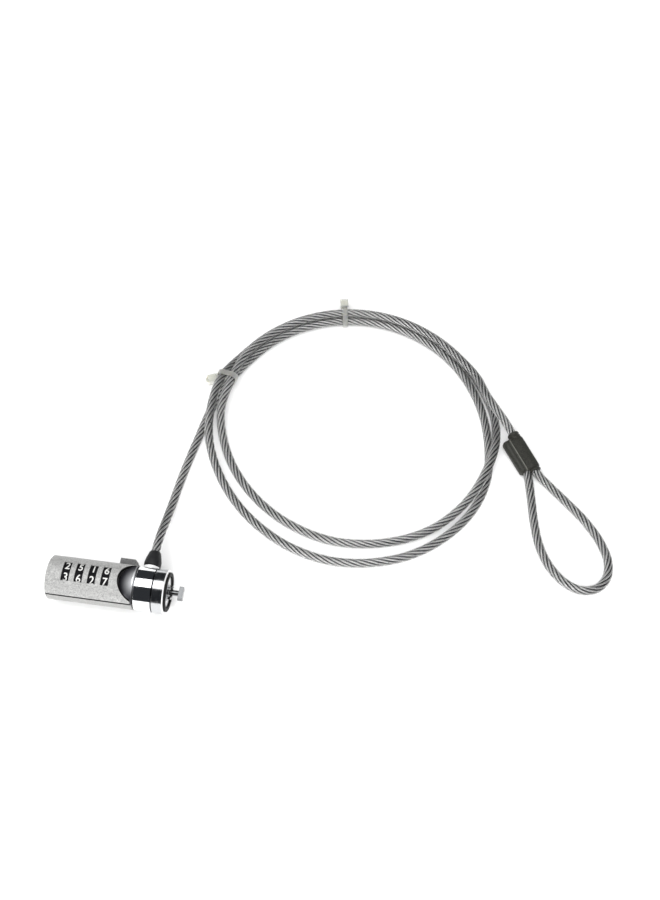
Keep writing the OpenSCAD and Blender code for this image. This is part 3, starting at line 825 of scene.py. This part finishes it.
def sleeve_moulding():
    """Olive-black plastic with a mottled skin, and a painted highlight along its parting ridge."""
    made = Material("sleeve_plastic", Specular_IOR_Level=0.4)
    skin = made.noise(2.4, 4, roughness=0.65)
    patch = made.noise(0.8, 3)
    tone = made.mixed(made.ranged(skin, 0, 1, 0.35, 0.65), (0.008, 0.008, 0.007), (0.042, 0.042, 0.034))
    across = made.node("ShaderNodeVectorMath", {"operation": "DOT_PRODUCT"})
    made.tree.links.new(made.place, across.inputs[0])
    across.inputs[1].default_value = SLEEVE_SIDE
    ridge = Vector(SLEEVE_IN).dot(SLEEVE_SIDE) + RIDGE_AT
    off = made.math("ABSOLUTE", made.math("SUBTRACT", across.outputs["Value"], ridge))
    # Painted highlight: lighter in patches along the parting ridge.
    ridge_highlight = made.math("MULTIPLY", made.ranged(off, 1, 0, 0.1, 0.3), made.ranged(patch, 0.5, 1, 0.3, 0.6))
    made.set("Base Color", made.mixed(ridge_highlight, tone, (0.12, 0.12, 0.105)))
    made.set("Roughness", made.ranged(skin, 0.42, 0.62, 0.3, 0.7))
    made.soft_edges(0.15)
    made.bump(skin, 0.05, 0.7)
    return made.finish()


def wire_rope():
    """Bright strands with painted shade in the gaps between them and between the fine wires that run along
    the rope.
    """
    made = Material("wire_rope", Metallic=0.75, Coat_Weight=0.35, Coat_Roughness=0.12)
    mapped = made.node("ShaderNodeUVMap", {"uv_map": "round_and_along"})
    split = made.node("ShaderNodeSeparateXYZ", Vector=mapped.outputs["UV"])
    around, along = split.outputs["X"], split.outputs["Y"]
    strand = made.math("PINGPONG", made.math("MULTIPLY", around, STRANDS), 0.5)
    crest = made.math("MULTIPLY", strand, 2.0)
    turned = made.math("ADD", around, made.math("MULTIPLY", along, 1 / LAY_LENGTH))
    wires = made.math("SINE", made.math("MULTIPLY", turned, 2 * math.pi * 34))
    dirt_and_painted_shade = made.noise(0.8, 3)
    # Painted shade: near-black in the gaps between the strands, and darker between the wires.
    gap = made.ranged(crest, 0, 1, 0.16, 0.66)
    bright = made.mixed(dirt_and_painted_shade, (0.44, 0.44, 0.44), (0.70, 0.70, 0.69))
    shade = made.mixed(made.ranged(wires, 0, 1, -1, 0.2), (0.13, 0.13, 0.135), bright)
    made.set("Base Color", made.mixed(gap, (0.012, 0.012, 0.014), shade))
    made.set("Roughness", made.ranged(dirt_and_painted_shade, 0.26, 0.42, 0.3, 0.7))
    made.bump(wires, 0.03, 0.8)
    return made.finish()


def clear_vinyl():
    """The clear cover, with an index below real vinyl's so that the rope shows as in the photo."""
    made = Material(
        "clear_vinyl",
        Base_Color=(0.97, 0.97, 0.96),
        Roughness=0.09,
        IOR=1.12,
        Transmission_Weight=1.0,
    )
    made.bump(made.noise(1.2, 2), 0.01, 0.4)
    return made.finish()


def nylon():
    """Natural nylon: milky, slightly yellow, and letting the rope show through."""
    made = Material(
        "nylon",
        Subsurface_Weight=0.35,
        Subsurface_Radius=(2.4 * MM, 2.2 * MM, 1.5 * MM),
        Subsurface_Scale=1.0,
        IOR=1.3,
    )
    cloud = made.noise(0.9, 3)
    # The thin strap is clearer than the head.
    head = made.ranged(made.distance((*RING_CENTRE, 0), (1, 1, 0)), 0, 1, STRAP_REACH, STRAP_REACH + 1)
    made.set("Transmission Weight", made.ranged(head, 0.86, 0.45))
    tone = made.mixed(cloud, (0.66, 0.66, 0.57), (0.76, 0.76, 0.69))
    made.set("Base Color", made.mixed(head, (0.86, 0.86, 0.82), tone))
    made.set("Roughness", made.ranged(made.noise(4, 3), 0.26, 0.42, 0.3, 0.7))
    made.soft_edges(0.1)
    made.bump(cloud, 0.02, 0.5)
    return made.finish()


def dress(target, material):
    """Gives one piece or CAD node its only material."""
    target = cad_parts[target] if isinstance(target, str) else target
    if not target.material_slots:
        target.data.materials.append(material)
    for slot in target.material_slots:
        slot.link = "OBJECT"
        slot.material = material


bright_chrome = chrome()
collar_plate = collar_chrome()
cap_chrome = cap_plate()
housing_finish = housing_silver()
cover_silver = silver_paint(
    "cover_silver", (0.17, 0.17, 0.168), (0.55, 0.55, 0.54), 0.55, 0.15, seam=(3.38, 3.42)
)
button_silver = silver_paint("button_silver", (0.05, 0.05, 0.05), (0.23, 0.23, 0.23), 0.55, 0.2)
steel = turned_metal("steel", (0.55, 0.56, 0.58), 0.3)
bar_steel = turned_metal("bar_steel", (0.22, 0.225, 0.23), 0.2)
spring_steel = turned_metal("spring_steel", (0.42, 0.43, 0.45), 0.25)
brass = turned_metal("brass", (0.78, 0.60, 0.28), 0.28)
dial_black = moulded("dial_black", (0.003, 0.003, 0.004), 0.5, 9, 0.006, 0.1, Specular_IOR_Level=0.12)
digit_white = moulded("digit_white", (0.46, 0.46, 0.45), 0.5, 9, 0.004, 0.02)
pad_rubber = moulded("pad_rubber", (0.004, 0.004, 0.004), 0.6, 6, 0.02, 0.1, Specular_IOR_Level=0.2)
boot_plastic = moulded("boot_plastic", (0.008, 0.008, 0.009), 0.55, 3.2, 0.03, Specular_IOR_Level=0.35)
sleeve_plastic = sleeve_moulding()
washer_plastic = moulded("washer_plastic", (0.6, 0.6, 0.57), 0.4)
nylon_tie = nylon()

LOOKS = {
    bright_chrome: ["guide_pins"],
    collar_plate: ["swivel_collar"],
    cap_chrome: ["front_cap"],
    bar_steel: ["t_bar"],
    housing_finish: ["base_housing"],
    cover_silver: ["top_cover"],
    button_silver: ["release_button"],
    steel: ["rear_plate", "rear_screws", "dial_spacers", "nose_block", "cap_pin", "spindle", "cable_crimp"],
    spring_steel: ["detent_spring", "button_spring", "spindle_spring", "t_bar_clip"],
    brass: ["core_tube", "change_screw"] + [f"code_ring_{k}" for k in range(1, 5)],
    dial_black: [f"dial_{k}" for k in range(1, 5)],
    digit_white: digit_rings,
    pad_rubber: ["front_pad"],
    boot_plastic: ["cable_boot"],
    washer_plastic: ["swivel_washer"],
    sleeve_plastic: [sleeve],
    nylon_tie: [tie_top, tie_side],
    wire_rope(): [rope],
    clear_vinyl(): [vinyl],
}
for material, targets in LOOKS.items():
    for target in targets:
        dress(target, material)
vinyl.visible_shadow = False


# ---- stage -----------------------------------------------------------------------


def make_floor():
    """A pale round table top, far wider than the view."""
    count = 96
    rings = [0.02, 0.5, 1, 2, 4]
    vertices = [(0, 0, 0)]
    for r in rings:
        vertices += [
            (r * math.cos(2 * math.pi * k / count), r * math.sin(2 * math.pi * k / count), 0)
            for k in range(count)
        ]
    faces = [(0, 1 + k, 1 + (k + 1) % count) for k in range(count)]
    for i in range(len(rings) - 1):
        a, b = 1 + i * count, 1 + (i + 1) * count
        faces += [(a + k, b + k, b + (k + 1) % count, a + (k + 1) % count) for k in range(count)]
    floor = add_object("floor", vertices, faces)
    floor.location = (0.07, 0.08, TABLE_Z - 0.03 * MM)
    made = Material("floor_white", Roughness=0.7, Specular_IOR_Level=0.2)
    tone = made.noise(0.02, 2)
    made.set("Base Color", made.mixed(tone, (0.9, 0.9, 0.9), (0.92, 0.92, 0.92)))
    floor.data.materials.append(made.finish())


def add_area(name, place, target, size, power):
    data = bpy.data.lights.new(name, "AREA")
    data.shape = "RECTANGLE"
    data.size, data.size_y = size
    data.energy = power
    light = bpy.data.objects.new(name, data)
    light.location = place
    light.rotation_euler = (Vector(target) - Vector(place)).to_track_quat("-Z", "Y").to_euler()
    bpy.context.scene.collection.objects.link(light)
    return light


def make_world():
    """Even pale light all round for matt surfaces, and a dark room in the reflections."""
    world = bpy.data.worlds.new("studio")
    world.use_nodes = True
    nodes, links = world.node_tree.nodes, world.node_tree.links
    nodes.clear()
    path = nodes.new("ShaderNodeLightPath")
    pale, dark = nodes.new("ShaderNodeBackground"), nodes.new("ShaderNodeBackground")
    pale.inputs["Color"].default_value = (1, 1, 1, 1)
    pale.inputs["Strength"].default_value = 0.8
    dark.inputs["Color"].default_value = (0.03, 0.032, 0.036, 1)
    mix, out = nodes.new("ShaderNodeMixShader"), nodes.new("ShaderNodeOutputWorld")
    links.new(path.outputs["Is Glossy Ray"], mix.inputs["Fac"])
    links.new(pale.outputs[0], mix.inputs[1])
    links.new(dark.outputs[0], mix.inputs[2])
    links.new(mix.outputs[0], out.inputs["Surface"])
    bpy.context.scene.world = world


make_floor()
# The softbox is deep over the head, and shallower over the ring's right.
add_area("softbox_left", (-0.29, 0.13, 0.7), (-0.29, 0.13, 0), (0.52, 0.56), 2.43)
add_area("softbox_right", (0.19, 0.01, 0.7), (0.19, 0.01, 0), (0.44, 0.32), 1.4)
# Matt surfaces are also lit from the camera's side, but nothing shiny shows that lamp.
fill = add_area("fill", (0.02, -0.75, 0.5), (0.05, 0.08, 0), (0.7, 0.5), 8.5)
fill.visible_glossy = False
make_world()
bpy.context.scene.view_settings.view_transform = "Standard"
